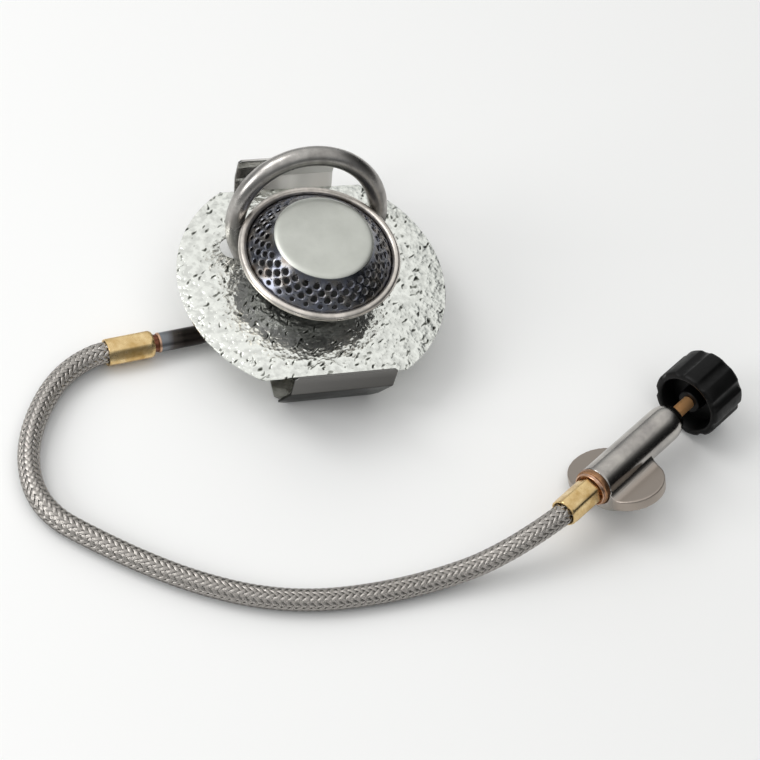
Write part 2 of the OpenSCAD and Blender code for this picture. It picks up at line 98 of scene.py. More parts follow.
def softenEdges(piece, width):
    # a fine bevel, in mm, along the cut edges of sheet
    addModifier(piece, "BEVEL", width=width * mm, segments=2, limit_method="ANGLE",
                angle_limit=radians(50))


def finishPiece(piece, finish, replaced, body="burner", place=None, angle=35):
    if place is not None:
        piece.data.transform(place)
    makeActive(piece)
    bpy.ops.object.shade_smooth_by_angle(angle=radians(angle))
    piece.data.materials.clear()
    piece.data.materials.append(finishes[finish])
    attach(piece, body)
    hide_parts(replaced)


def secondFinish(piece, finish, faces):
    # gives some of a finished piece's faces another finish
    piece.data.materials.append(finishes[finish])
    for index in faces:
        piece.data.polygons[index].material_index = 1


def turnedPiece(name, profile, sides=96, capped=False):
    # a circle, extruded and scaled along its profile of (radius, height) in mm
    radius, height = profile[0]
    piece = startPiece(name, bpy.ops.mesh.primitive_circle_add, vertices=sides, radius=radius * mm,
                       location=(0, 0, height * mm))
    editAll(piece)
    for nextRadius, nextHeight in profile[1:]:
        rise = (nextHeight - height) * mm
        bpy.ops.mesh.extrude_edges_move(TRANSFORM_OT_translate={"value": (0, 0, rise)})
        scale = nextRadius / radius
        bpy.ops.transform.resize(value=(scale, scale, 1), center_override=(0, 0, nextHeight * mm))
        radius, height = nextRadius, nextHeight
    if capped:
        bpy.ops.mesh.edge_face_add()
    bpy.ops.mesh.select_all(action="SELECT")
    bpy.ops.mesh.remove_doubles(threshold=0.002 * mm)
    bpy.ops.mesh.normals_make_consistent(inside=False)
    leaveEdit()
    return piece


def meshPiece(name, verts, faces):
    mesh = bpy.data.meshes.new(name)
    mesh.from_pydata([tuple(v) for v in verts], [], faces)
    mesh.update()
    piece = bpy.data.objects.new(name, mesh)
    addToScene(piece)
    return piece


def nodeCopy(name, node):
    # the solid's own mesh, merged, as the start of a finer piece
    piece = nodes[node].copy()
    piece.data = nodes[node].data.copy()
    piece.name = piece.data.name = name
    piece.parent = None
    for key in list(piece.keys()):
        del piece[key]
    addToScene(piece)
    mergeDoubles(piece, 0.005)
    return piece


def cutAway(piece, cutter):
    addModifier(piece, "BOOLEAN", operation="DIFFERENCE", object=cutter, solver="EXACT")
    bpy.data.objects.remove(cutter)


def joinPieces(pieces, gap):
    # one mesh of them all, with the points along their borders merged
    deselectAll()
    for piece in pieces:
        piece.select_set(True)
    bpy.context.view_layer.objects.active = pieces[0]
    bpy.ops.object.join()
    mergeDoubles(pieces[0], gap)
    return pieces[0]


def keepEdge(piece, row):
    # leaves one edge of the plane, moved to the strip's first row, and selects it
    bpy.ops.object.mode_set(mode="EDIT")
    bpy.ops.mesh.select_mode(type="VERT")
    bpy.ops.mesh.select_all(action="DESELECT")
    leaveEdit()
    for index, vertex in enumerate(piece.data.vertices):
        vertex.select = index > 1
    bpy.ops.object.mode_set(mode="EDIT")
    bpy.ops.mesh.delete(type="VERT")
    bpy.ops.mesh.select_all(action="SELECT")
    leaveEdit()
    for vertex, place in zip(piece.data.vertices, row):
        vertex.co = place * mm


def extrudeEdgeTo(piece, row):
    # draws the strip's last edge out to its next row
    bpy.ops.object.mode_set(mode="EDIT")
    bpy.ops.mesh.extrude_edges_move(TRANSFORM_OT_translate={"value": (0, 0, 0)})
    leaveEdit()
    moved = [v for v in piece.data.vertices if v.select]
    for vertex, place in zip(sorted(moved, key=lambda v: v.co.x), row):
        vertex.co = place * mm


def flatten(piece, acrossFlats, soft, sides=6):
    # a round wall, pressed in to the flats of a hexagon, with its ridges left soft
    step = 2 * pi / sides
    for vertex in piece.data.vertices:
        angle = atan2(vertex.co.y, vertex.co.x) % step - step / 2
        limit = acrossFlats / 2 / cos(angle)
        radius = hypot(vertex.co.x, vertex.co.y) / mm
        pressed = min(radius, limit) - soft * log(1 + exp(-abs(radius - limit) / soft))
        vertex.co.x *= pressed / radius
        vertex.co.y *= pressed / radius


# Camera
cameraSettings = {
    "at": (-0.255205, -0.556784, 0.811434),
    "right": (0.9580758, -0.2151756, 0.18918304),
    "up": (0.07503616, 0.82568271, 0.5591222),
    "back": (-0.27651462, -0.52148588, 0.80721257),
    "lens": 129.174,
}
cameraData = bpy.data.cameras.new("camera")
cameraData.lens = cameraSettings["lens"]
cameraData.sensor_width = 36
cameraData.clip_end = 20
camera = bpy.data.objects.new("camera", cameraData)
turn = Matrix([cameraSettings["right"], cameraSettings["up"], cameraSettings["back"]]).transposed()
camera.matrix_world = Matrix.Translation(cameraSettings["at"]) @ turn.to_4x4()
addToScene(camera)
bpy.context.scene.camera = camera
print("camera placed")


def srgb(code):
    # sRGB hex to linear
    parts = [int(code[i:i + 2], 16) / 255 for i in (0, 2, 4)]
    return [c / 12.92 if c <= 0.04045 else ((c + 0.055) / 1.055) ** 2.4 for c in parts] + [1]


def newMaterial(name, color, metallic, roughness):
    material = bpy.data.materials.new(name)
    material.use_nodes = True
    tree = material.node_tree
    shader = tree.nodes["Principled BSDF"]
    shader.inputs["Base Color"].default_value = srgb(color)
    shader.inputs["Metallic"].default_value = metallic
    shader.inputs["Roughness"].default_value = roughness
    return material, tree, shader


def feed(node, links):
    # links a node's inputs: {input: (node, output)}
    for key, (source, output) in links.items():
        node.id_data.links.new(source.outputs[output], node.inputs[key])


def addNode(tree, kind, links=None, values=None, **settings):
    # one node, with its links as feed takes them and its values as {input: value}
    node = tree.nodes.new("ShaderNode" + kind)
    for key, value in settings.items():
        if key in node.bl_rna.properties:
            setattr(node, key, value)
        else:
            node.inputs[key].default_value = value
    for key, value in (values or {}).items():
        node.inputs[key].default_value = value
    feed(node, links or {})
    return node


def span(fromLow, fromHigh, toLow=0, toHigh=1):
    # the values that stretch one range to another
    return {"From Min": fromLow, "From Max": fromHigh, "To Min": toLow, "To Max": toHigh}


def setRamp(node, stops):
    ramp = node.color_ramp
    while len(ramp.elements) > 1:
        ramp.elements.remove(ramp.elements[-1])
    ramp.elements[0].position, ramp.elements[0].color = stops[0][0], srgb(stops[0][1])
    for position, code in stops[1:]:
        ramp.elements.new(position).color = srgb(code)


def wornMetal(name, dark, light, roughness, patch, grain=0, lift=0, roughSpread=0.12, metallic=1,
              shine=0.5):
    # tone and polish drift over patches of some mm, with a fine cast or drawn grain
    material, tree, shader = newMaterial(name, light, metallic, roughness)
    shader.inputs["Specular IOR Level"].default_value = shine
    place = addNode(tree, "TexCoord")
    patches = addNode(tree, "TexNoise", {"Vector": (place, "Object")}, Scale=1000 / patch,
                      Detail=5.0, Roughness=0.6)
    tone = addNode(tree, "ValToRGB", {"Fac": (patches, "Fac")})
    setRamp(tone, [(0.32, dark), (0.66, light)])
    polish = addNode(tree, "MapRange", {"Value": (patches, "Fac")},
                     span(0.3, 0.7, roughness + roughSpread,
                          max(0.05, roughness - roughSpread / 2)))
    feed(shader, {"Base Color": (tone, "Color"), "Roughness": (polish, "Result")})
    if grain:
        fine = addNode(tree, "TexNoise", {"Vector": (place, "Object")}, Scale=1000 / grain,
                       Detail=3.0)
        bump = addNode(tree, "Bump", {"Height": (fine, "Fac")}, Strength=0.35, Distance=lift * mm)
        feed(shader, {"Normal": (bump, "Normal")})
    return material, tree, shader


def stuccoSheet():
    # bright rolled sheet with soft swells, which break up what it mirrors, and short creases; the
    # creases' dark reflections and the swells' shading are painted into its colour
    stucco = {"swell": 2.6, "swellLift": 0.46, "fine": 1.0, "fineLift": 0.12, "crease": 2.1,
              "creaseLength": 3.2, "creaseTurn": 48, "creaseWidth": 0.19, "creaseLift": 0.12,
              "warp": 4.2, "warpReach": 4.2}     # mm and degrees
    material, tree, shader = newMaterial("stucco embossed aluminium, bright", "eceee8", 1, 0.14)
    place = addNode(tree, "TexCoord")
    swells, fine, warp = [
        addNode(tree, "TexNoise", {"Vector": (place, "Object")},
                Scale=1000 / stucco[size], Detail=detail)
        for size, detail in (("swell", 1.0), ("fine", 2.0), ("warp", 1.0))]
    centred = addNode(tree, "VectorMath", {0: (warp, "Color")}, {1: (0.5, 0.5, 0.5)},
                      operation="SUBTRACT")
    reach = addNode(tree, "VectorMath", {0: (centred, "Vector")}, operation="SCALE",
                    Scale=stucco["warpReach"] * mm)
    bent = addNode(tree, "VectorMath", {0: (place, "Object"), 1: (reach, "Vector")},
                   operation="ADD")
    drawn = addNode(tree, "Mapping", {"Vector": (bent, "Vector")}, vector_type="TEXTURE",
                    Rotation=(0, 0, radians(stucco["creaseTurn"])),
                    Scale=(stucco["creaseLength"], 1, 1))
    cells = addNode(tree, "TexVoronoi", {"Vector": (drawn, "Vector")},
                    Scale=1000 / stucco["crease"])
    crease = addNode(tree, "MapRange", {"Value": (cells, "Distance")},
                     span(stucco["creaseWidth"] * 0.5, stucco["creaseWidth"] * 1.5, 1, 0))
    # painted reflection: the creases are painted dark
    tone = addNode(tree, "ValToRGB", {"Fac": (crease, "Result")})
    setRamp(tone, [(0.0, "eff1eb"), (0.35, "a9aba4"), (1.0, "34362f")])
    # painted shade: the swells dim the colour in patches
    dip = addNode(tree, "MapRange", {"Value": (swells, "Fac")}, span(0.36, 0.58, 0.8, 1))
    paintedSwellShade = addNode(tree, "VectorMath", {0: (tone, "Color"), "Scale": (dip, "Result")},
                     operation="SCALE")
    feed(shader, {"Base Color": (paintedSwellShade, "Vector")})
    swellBump = addNode(tree, "Bump", {"Height": (swells, "Fac")},
                        Distance=stucco["swellLift"] * mm)
    fineBump = addNode(tree, "Bump", {"Height": (fine, "Fac"), "Normal": (swellBump, "Normal")},
                       Distance=stucco["fineLift"] * mm)
    creaseBump = addNode(tree, "Bump",
                         {"Height": (crease, "Result"), "Normal": (fineBump, "Normal")},
                         Distance=stucco["creaseLift"] * mm, invert=True)
    feed(shader, {"Normal": (creaseBump, "Normal")})
    return material, tree, shader


def heatedTube():
    # satin tube, burnt dark under the plate and blued next to the braze
    material, tree, shader = wornMetal("drawn stainless tube, heat darkened", "8b8885", "b4b1ad",
                                       0.3, 6, 0.5, 0.01)
    clean = shader.inputs["Base Color"].links[0].from_node
    place = addNode(tree, "TexCoord")
    parts = addNode(tree, "SeparateXYZ", {"Vector": (place, "Object")})
    reach = addNode(tree, "MapRange", {"Value": (parts, "X")}, span(-58 * mm, -34 * mm))
    burnt = addNode(tree, "ValToRGB", {"Fac": (reach, "Result")})
    setRamp(burnt, [(0.0, "868b90"), (0.14, "7a7c80"), (0.24, "4d4845"), (0.4, "2a2624"),
                    (0.9, "332e2b")])
    share = addNode(tree, "MapRange", {"Value": (parts, "X")}, span(-38 * mm, -33 * mm, 1, 0))
    mix = addNode(tree, "Mix",
                  {0: (share, "Result"), 6: (clean, "Color"), 7: (burnt, "Color")},
                  data_type="RGBA")
    feed(shader, {"Base Color": (mix, 2)})
    return material, tree, shader


def stripSteel():
    # bright rolled strip, with painted shade making the leg at the front dull and dark, and a
    # painted highlight making the far lip satin and pale
    material, tree, shader = wornMetal("rolled spring stainless, bright", "a19f9c", "c2c0bd", 0.14,
                                       9, roughSpread=0.04)
    shader.inputs["Specular Tint"].default_value = srgb("8e8e8e")
    bright = shader.inputs["Base Color"].links[0].from_node
    place = addNode(tree, "TexCoord")
    parts = addNode(tree, "SeparateXYZ", {"Vector": (place, "Object")})
    # painted shade: the leg and lip at the front are painted dark grey, a painted dark reflection
    frontShadeShare = addNode(tree, "MapRange", {"Value": (parts, "Y")}, span(-40 * mm, -34 * mm, 1, 0))
    height = addNode(tree, "MapRange", {"Value": (parts, "Z")}, span(20 * mm, 22 * mm))
    paintedFrontShade = addNode(tree, "ValToRGB", {"Fac": (height, "Result")})
    setRamp(paintedFrontShade, [(0.0, "666563"), (1.0, "6e6d6b")])
    mix = addNode(tree, "Mix",
                  {0: (frontShadeShare, "Result"), 6: (bright, "Color"), 7: (paintedFrontShade, "Color")},
                  data_type="RGBA")
    # painted highlight: the far lip is painted pale and less metallic, from its left end to its
    # middle
    along = addNode(tree, "MapRange", {"Value": (parts, "X")}, span(-18 * mm, 2 * mm))
    farHighlightShare = addNode(tree, "MapRange", {"Value": (parts, "Y"), "To Max": (along, "Result")},
                  {"From Min": 43 * mm, "From Max": 44 * mm})
    pale = addNode(tree, "Mix", {0: (farHighlightShare, "Result"), 6: (mix, 2)}, {7: srgb("f6f5f0")},
                   data_type="RGBA")
    satin = addNode(tree, "MapRange", {"Value": (farHighlightShare, "Result")}, span(0, 1, 1, 0.25))
    feed(shader, {"Base Color": (pale, 2), "Metallic": (satin, "Result")})
    return material, tree, shader


def wireBraid():
    # five wires side by side in each strand, with painted shade darkening the gaps between them
    wires, lift = 5, 0.06
    material, tree, shader = newMaterial("braided stainless wire", "a8a49e", 1, 0.24)
    across = addNode(tree, "Attribute", attribute_name="acrossStrand")
    spread = addNode(tree, "Math", {0: (across, "Fac")}, {1: pi * wires}, operation="MULTIPLY")
    wave = addNode(tree, "Math", {0: (spread, "Value")}, operation="SINE")
    height = addNode(tree, "Math", {0: (wave, "Value")}, operation="ABSOLUTE")
    # painted shade in the gaps between the wires
    tone = addNode(tree, "ValToRGB", {"Fac": (height, "Value")})
    setRamp(tone, [(0.0, "262422"), (0.35, "827e7a"), (0.8, "c9c4be")])
    # painted shade: the side towards the ground is painted darker
    place = addNode(tree, "TexCoord")
    parts = addNode(tree, "SeparateXYZ", {"Vector": (place, "Object")})
    shade = addNode(tree, "MapRange", {"Value": (parts, "Z")}, span(1.8 * mm, 4.6 * mm, 0.16, 1))
    shaded = addNode(tree, "VectorMath", {0: (tone, "Color"), "Scale": (shade, "Result")},
                     operation="SCALE")
    feed(shader, {"Base Color": (shaded, "Vector")})
    bump = addNode(tree, "Bump", {"Height": (height, "Value")}, Strength=0.8, Distance=lift * mm)
    feed(shader, {"Normal": (bump, "Normal")})
    return material, tree, shader


def castNickel():
    # polished on the barrel, paler and rougher on the wings as they come from the die
    material, tree, shader = wornMetal("die cast zinc, nickel plated", "9c9895", "bab6b0", 0.17, 9,
                                       0.3, 0.003, roughSpread=0.05)
    barrel = shader.inputs["Base Color"].links[0].from_node
    polish = shader.inputs["Roughness"].links[0].from_node
    share = addNode(tree, "Attribute", attribute_name="wingShare")
    rough = addNode(tree, "Mix", {0: (share, "Fac"), 2: (polish, "Result")}, {3: 0.36})
    tone = addNode(tree, "Mix", {0: (share, "Fac"), 6: (barrel, "Color")}, {7: srgb("a69c93")},
                   data_type="RGBA")
    feed(shader, {"Roughness": (rough, 0), "Base Color": (tone, 2)})
    return material, tree, shader


def heatedCap():
    # thin sheet whose cone the flame has tinted brown and blue
    material, tree, shader = wornMetal("pressed stainless cap, heat blued", "4d4c52", "8c8a88",
                                       0.24, 7, roughSpread=0.06)
    tint = shader.inputs["Base Color"].links[0].from_node
    setRamp(tint, [(0.3, "5c524b"), (0.42, "757371"), (0.55, "6a6d78"), (0.68, "8c8c8d")])
    return material, tree, shader


finishes = {
    "stuccoAluminium": stuccoSheet(),
    "rolledStainless": stripSteel(),
    # an even grey sheen with a fine grain
    "drawnSteel": wornMetal("drawn stainless tube, satin", "8b8885", "b4b1ad", 0.3, 6, 0.5, 0.01),
    "preheatSteel": heatedTube(),
    # pale and a little warm, with soft broad reflections
    "tintedSteel": wornMetal("pressed stainless, heat tinted", "b3aea7", "e6dfd7", 0.3, 7, 0.4,
                             0.006),
    # the same sheet, grey and duller, darker below the rim
    "darkerSteel": wornMetal("pressed stainless, darker below the rim", "7c7b7c", "a6a5a7", 0.34, 6, 0.4,
                            0.008),
    "capSteel": heatedCap(),
    # pale and matte, nearly one tone
    "capDisc": wornMetal("pressed stainless disc, satin", "c6c8c1", "d0d2cb", 0.44, 10,
                         roughSpread=0.03),
    "braidSteel": wireBraid(),
    # near black between the strands, without shine
    "hoseRubber": wornMetal("hose rubber, dark", "0d0c0c", "161514", 0.7, 3, metallic=0),
    # pale gold whose flats catch the light one by one
    "ferruleBrass": wornMetal("crimped brass, lacquered", "c09c5f", "edd3a0", 0.27, 5,
                              roughSpread=0.06),
    # a deeper gold, duller in patches
    "turnedBrass": wornMetal("turned brass, dull", "94793a", "c9a655", 0.34, 3, 0.3, 0.01),
    # dark red brown, patchy and a little rough
    "brazeCopper": wornMetal("copper braze, fired", "57362a", "8f5d48", 0.38, 1.6, 0.25, 0.008),
    # pale pink gold, smooth and bright
    "brazeFillet": wornMetal("copper braze, bright", "b58a70", "dbb9a0", 0.3, 2.4,
                             roughSpread=0.06),
    # brown copper with brighter patches
    "unionCopper": wornMetal("copper plated ring, brazed", "7c5a43", "b18763", 0.34, 3, 0.25,
                             0.006),
    # warm orange gold under a thin film of oil, which softens its mirror
    "spindleBronze": wornMetal("turned bronze, oiled", "cc935c", "dcaa76", 0.36, 8,
                               roughSpread=0.04, metallic=0.6),
    "castNickel": castNickel(),
    # dark grey with a soft shine
    "glandSteel": wornMetal("dark steel", "3c3b3a", "575553", 0.36, 3),
    # deep black with a faint sheen and a fine moulded grain
    "knobPlastic": wornMetal("moulded phenolic, black", "020202", "050505", 0.4, 2, 0.3, 0.012,
                             metallic=0, shine=0.18),
    # matte black
    "sealRubber": wornMetal("nitrile rubber", "0a0a0a", "121212", 0.6, 2, metallic=0),
}
finishes = {key: value[0] for key, value in finishes.items()}
print("materials made")

# the solids that no piece replaces, which hardly show
for node, finish in (("burner_hose_tail", "turnedBrass"), ("valve_hose_tail", "turnedBrass"),
                     ("spindle_ring", "sealRubber")):
    nodes[node].data.materials.clear()
    nodes[node].data.materials.append(finishes[finish])


# Hose: a dark core and the braid of wire round it, from ferrule to ferrule
hose = {
    "diameter": 8, "core": 3.25, "coreSides": 24, "coreRings": 140, "strands": 12, "pitch": 30,
    "strandWidth": 1.4, "strandLift": 0.2, "strandThick": 0.4, "weaveRadius": 3.6,
    "waveSteepness": 1.5, "stepsPerCrossing": 2.4, "mouthDepth": 3, "endSteps": (0, 2.5, 5),
    "pathSteps": 10, "ferruleLength": 17.6,
    "burnerFace": (-60.0034, -12.6113, 5.1), "feedHeading": (0.990268, 0.139173, 0),
    "route": [
        (-83, -16.3, 4.8), (-89.4, -19.5, 4.4), (-95.4, -24.3, 4.2), (-100.6, -30.4, 4.1),
        (-104.9, -37.4, 4.1), (-108.4, -44.8, 4.1), (-110.8, -52.6, 4.1), (-111.8, -60.4, 4.1),
        (-111.4, -68, 4.1), (-109.3, -75, 4.1), (-105.6, -80.9, 4.1), (-100.8, -85.6, 4.1),
        (-90.3, -93.7, 4.1), (-79.4, -101.3, 4.1), (-68.1, -108.2, 4.1), (-56.4, -114.1, 4.1),
        (-44.1, -118.9, 4.1), (-31.2, -122.1, 4.1), (-17.8, -123.6, 4.1), (-3.9, -123.5, 4.1),
        (10.1, -122.3, 4.2), (24.1, -120.3, 5), (37.6, -118, 7.4), (49.6, -114.9, 11.2),
        (60.3, -111, 14.7),
    ],
}
valve = {"at": (95.7, -88, 15.5), "turn": (-27.8, 1.5, 35.2), "barrelStart": -11.6,
         "unionLength": 3.4, "unionSocket": 2.4}
rollX, tiltY, headZ = (radians(a) for a in valve["turn"])
valveTurn = (Matrix.Rotation(headZ, 4, "Z") @ Matrix.Rotation(tiltY, 4, "Y")
             @ Matrix.Rotation(rollX, 4, "X"))
valvePlace = Matrix.Translation(Vector(valve["at"]) * mm) @ valveTurn
valveAlong = valvePlace @ Matrix.Rotation(radians(90), 4, "Y")   # local Z runs down the barrel
valveAxis = (valveTurn @ Vector((1, 0, 0))).normalized()


def smoothPath(points, pieces):
    # the same spline that the hose's solid follows
    knots = [2 * points[0] - points[1]] + points + [2 * points[-1] - points[-2]]
    path = []
    for i in range(len(points) - 1):
        a, b, c, d = knots[i:i + 4]
        for k in range(pieces):
            s = k / pieces
            path.append(0.5 * (2 * b + (c - a) * s + (2 * a - 5 * b + 4 * c - d) * s * s
                               + (3 * b - a - 3 * c + d) * s ** 3))
    return path + [points[-1]]


def alongPath(path):
    # distance, place and a frame that doesn't twist, at each point
    stations, travelled = [], 0
    side = Vector((0, 0, 1)).cross(path[1] - path[0]).normalized()
    for i, point in enumerate(path):
        way = (path[min(i + 1, len(path) - 1)] - path[max(i - 1, 0)]).normalized()
        side = (side - way * side.dot(way)).normalized()
        if i:
            travelled += (point - path[i - 1]).length
        stations.append((travelled, point, way, side, way.cross(side)))
    return stations


def stationAt(stations, distance):
    low, high = 0, len(stations) - 1
    while high - low > 1:
        middle = (low + high) // 2
        low, high = (middle, high) if stations[middle][0] <= distance else (low, middle)
    a, b = stations[low], stations[high]
    s = (distance - a[0]) / max(b[0] - a[0], 1e-9)
    return [a[k].lerp(b[k], s) for k in (1, 3, 4)]


heading = Vector(hose["feedHeading"])
burnerMouth = Vector(hose["burnerFace"]) - heading * hose["ferruleLength"]
unionStart = valve["barrelStart"] - valve["unionLength"]
ferruleStart = unionStart + valve["unionSocket"]
valveMouth = Vector(valve["at"]) + valveAxis * (ferruleStart - hose["ferruleLength"])
endSteps = [hose["mouthDepth"] - step for step in hose["endSteps"]]
hosePoints = [burnerMouth + heading * step for step in endSteps]
hosePoints += [Vector(p) for p in hose["route"]]
hosePoints += [valveMouth + valveAxis * step for step in reversed(endSteps)]
hosePath = smoothPath(hosePoints, hose["pathSteps"])
hoseStations = alongPath(hosePath)
hoseLength = hoseStations[-1][0]


def tubeFaces(start, sides, rings):
    # the wall and both ends of a tube whose rings of points follow each other
    faces = []
    for i in range(rings - 1):
        for k in range(sides):
            a, b = start + i * sides + k, start + i * sides + (k + 1) % sides
            faces.append((a, b, b + sides, a + sides))
    faces.append(tuple(range(start, start + sides))[::-1])
    faces.append(tuple(range(start + (rings - 1) * sides, start + rings * sides)))
    return faces


def braidedHose():
    verts, across = [], []
    sides, rings = hose["coreSides"], hose["coreRings"]
    for i in range(rings):
        place, side, up = stationAt(hoseStations, hoseLength * i / (rings - 1))
        for k in range(sides):
            a = 2 * pi * k / sides
            verts.append(place + hose["core"] * (cos(a) * side + sin(a) * up))
            across.append(0)
    faces = tubeFaces(0, sides, rings)
    coreFaces = len(faces)
    # strands of wire, each over two and under two of the others
    count, pitch = hose["strands"], hose["pitch"]
    crossing = pitch / (2 * count)
    steps = int(hoseLength / crossing * hose["stepsPerCrossing"])
    slope = 2 * pi * hose["weaveRadius"] / pitch
    half, thick = hose["strandWidth"] / 2, hose["strandThick"] / 2
    section = [(-half, 0, 0), (-half * 0.55, thick, 0.22), (half * 0.55, thick, 0.78), (half, 0, 1),
               (0, -thick, 0.5)]     # offset, lift and share of the way across
    for way, phase in ((1, 0.5), (-1, 2.5)):     # the two ways round lie half a wave apart
        for strand in range(count):
            start = len(verts)
            for i in range(steps + 1):
                z = hoseLength * i / steps
                turnAngle = way * 2 * pi * z / pitch + 2 * pi * strand / count
                # the weave repeats round the hose in columns, which makes the herringbone
                column = 2 * count * turnAngle / (2 * pi)
                wave = sin(2 * pi * (column - phase) / 4)
                level = max(-1, min(1, wave * hose["waveSteepness"]))
                radius = hose["weaveRadius"] + hose["strandLift"] * level
                place, side, up = stationAt(hoseStations, z)
                out = cos(turnAngle) * side + sin(turnAngle) * up
                around = way * (-sin(turnAngle) * side + cos(turnAngle) * up)
                along = up.cross(side) * -1
                strandWay = (along + around * slope).normalized()
                wide = strandWay.cross(out).normalized()
                for offset, lift, share in section:
                    verts.append(place + out * (radius + lift) + wide * offset)
                    across.append(share)
            faces += tubeFaces(start, len(section), steps + 1)
    piece = meshPiece("braidedHose", [v * mm for v in verts], faces)
    piece.data.attributes.new("acrossStrand", "FLOAT", "POINT").data.foreach_set("value", across)
    return piece, coreFaces


hosePiece, coreFaces = braidedHose()
faceOutwards(hosePiece)
finishPiece(hosePiece, "braidSteel", "hose", angle=50)
secondFinish(hosePiece, "hoseRubber", range(coreFaces))
print("hose braided,", round(hoseLength, 1), "mm")


# Heat plate: a disc of sheet with two flats, cut out for the preheat tube's legs
plate = {"diameter": 100, "flats": 84.4, "top": 21, "thick": 0.8, "hole": 15.3, "cut": 5,
         "slotRadius": 4.9, "slotAt": (23.6, 16.02), "slotLength": (3, 0.6), "edge": 0.15}
platePiece = startPiece("heatPlate", bpy.ops.mesh.primitive_circle_add, vertices=240,
                        fill_type="NGON", radius=plate["diameter"] / 2 * mm,
                        location=(0, 0, (plate["top"] - plate["thick"]) * mm))
editAll(platePiece)
for side in (1, -1):
    bpy.ops.mesh.select_all(action="SELECT")
    bpy.ops.mesh.bisect(plane_co=(0, side * plate["flats"] / 2 * mm, 0), plane_no=(0, side, 0),
                        clear_outer=True)
bpy.ops.mesh.select_all(action="SELECT")
bpy.ops.mesh.extrude_region_move(TRANSFORM_OT_translate={"value": (0, 0, plate["thick"] * mm)})
bpy.ops.mesh.select_all(action="SELECT")
bpy.ops.mesh.normals_make_consistent(inside=False)
leaveEdit()
hole = startPiece("plateHole", bpy.ops.mesh.primitive_cylinder_add, vertices=64,
                  radius=plate["hole"] / 2 * mm, depth=plate["cut"] * mm,
                  location=(0, 0, plate["top"] * mm))
cutAway(platePiece, hole)
for side in (1, -1):
    slot = startPiece("plateSlot", bpy.ops.mesh.primitive_cylinder_add, vertices=48,
                      radius=plate["slotRadius"] * mm, depth=plate["cut"] * mm)
    for vertex in slot.data.vertices:      # stretched to an oblong that leans outwards
        if vertex.co.x > 0:
            vertex.co += Vector((*plate["slotLength"], 0)) * mm
    slot.data.transform(Matrix.Translation(Vector((*plate["slotAt"], plate["top"])) * mm))
    if side < 0:
        slot.data.transform(Matrix.Scale(-1, 4, (1, 0, 0)))
        slot.data.flip_normals()
    cutAway(platePiece, slot)
softenEdges(platePiece, plate["edge"])
finishPiece(platePiece, "stuccoAluminium", "heat_plate")

# Bowl: a foot on the plate, a shallow floor, a flaring wall and a rim rolled outwards
bowl = {"rim": 59.6, "bead": 3, "rimTop": 38.5, "darkerBelow": 35.2}
beadRadius = bowl["bead"] / 2
beadAt = (bowl["rim"] / 2 - beadRadius, bowl["rimTop"] - beadRadius)
bowlProfile = [(7.65, 26), (7.65, 21), (10.85, 21), (10.85, 24.2), (11.2, 24.8), (12.6, 25.1),
               (16, 25.6), (19.4, 26.3), (21.6, 27.3), (23.6, 29), (25.6, 31.4), (27.3, 33.7),
               (28.3, 35.0)]
bowlProfile += [(beadAt[0] + beadRadius * cos(radians(a)),
                 beadAt[1] + beadRadius * sin(radians(a))) for a in range(-70, 231, 15)]
bowlProfile += [(27.05, 35.0), (26.5, 33.9), (24.9, 31.8), (22.9, 29.6), (21, 28), (18.9, 27.2),
                (14, 26.5), (8.6, 26), (7.65, 26)]
bowlPiece = turnedPiece("burnerBowl", bowlProfile, sides=144)
finishPiece(bowlPiece, "tintedSteel", "burner_bowl")
# the bowl's wall below the rim is given the darker finish
secondFinish(bowlPiece, "darkerSteel", [
    p.index for p in bowlPiece.data.polygons if p.center.z < bowl["darkerBelow"] * mm])
print("plate and bowl made")

# Flame cap: a cone of pressed sheet whose holes are punched inwards, each in a dimple of its own
cap = {"foot": (26.75, 36.9), "perRow": 30, "rows": 4, "firstRow": 20.42, "rowStep": 1.609,
       "rise": 1.083, "hole": 2.3, "smallHole": 1.7, "dimple": 1.5, "smallDimple": 1.1,
       "depth": 0.38, "smallDepth": 0.4, "sheet": 0.5, "discEdge": 46.3, "join": 0.04,
       "closeAt": {0: -1.02, 3: 3.93}}     # levels, in rows, where the first and last row close
cellPeak, cellSides = 0.8, 18    # how far a cell reaches towards the next row, and its corners


def coneAt(column, row, depth=0):
    # a place on the cone, in columns round it and rows down it, sunk by a depth in mm
    radius = cap["firstRow"] + row * cap["rowStep"]
    height = cap["foot"][1] + (cap["foot"][0] - radius) * cap["rise"]
    lean = atan(cap["rise"])
    radius -= depth * sin(lean)
    height -= depth * cos(lean)
    angle = 2 * pi * column / cap["perRow"]
    return Vector((radius * cos(angle), radius * sin(angle), height)) * mm


def cellBorder():
    # a long hexagon that fits the next one, half a column on, in the next row
    corners = [(0, cellPeak), (0.5, 1 - cellPeak), (0.5, cellPeak - 1), (0, -cellPeak),
               (-0.5, cellPeak - 1), (-0.5, 1 - cellPeak)]
    border = []
    for i, (a, b) in enumerate(zip(corners, corners[1:] + corners[:1])):
        parts = 1 if i in (1, 4) else 4
        border += [(a[0] + (b[0] - a[0]) * k / parts, a[1] + (b[1] - a[1]) * k / parts)
                   for k in range(parts)]
    return border


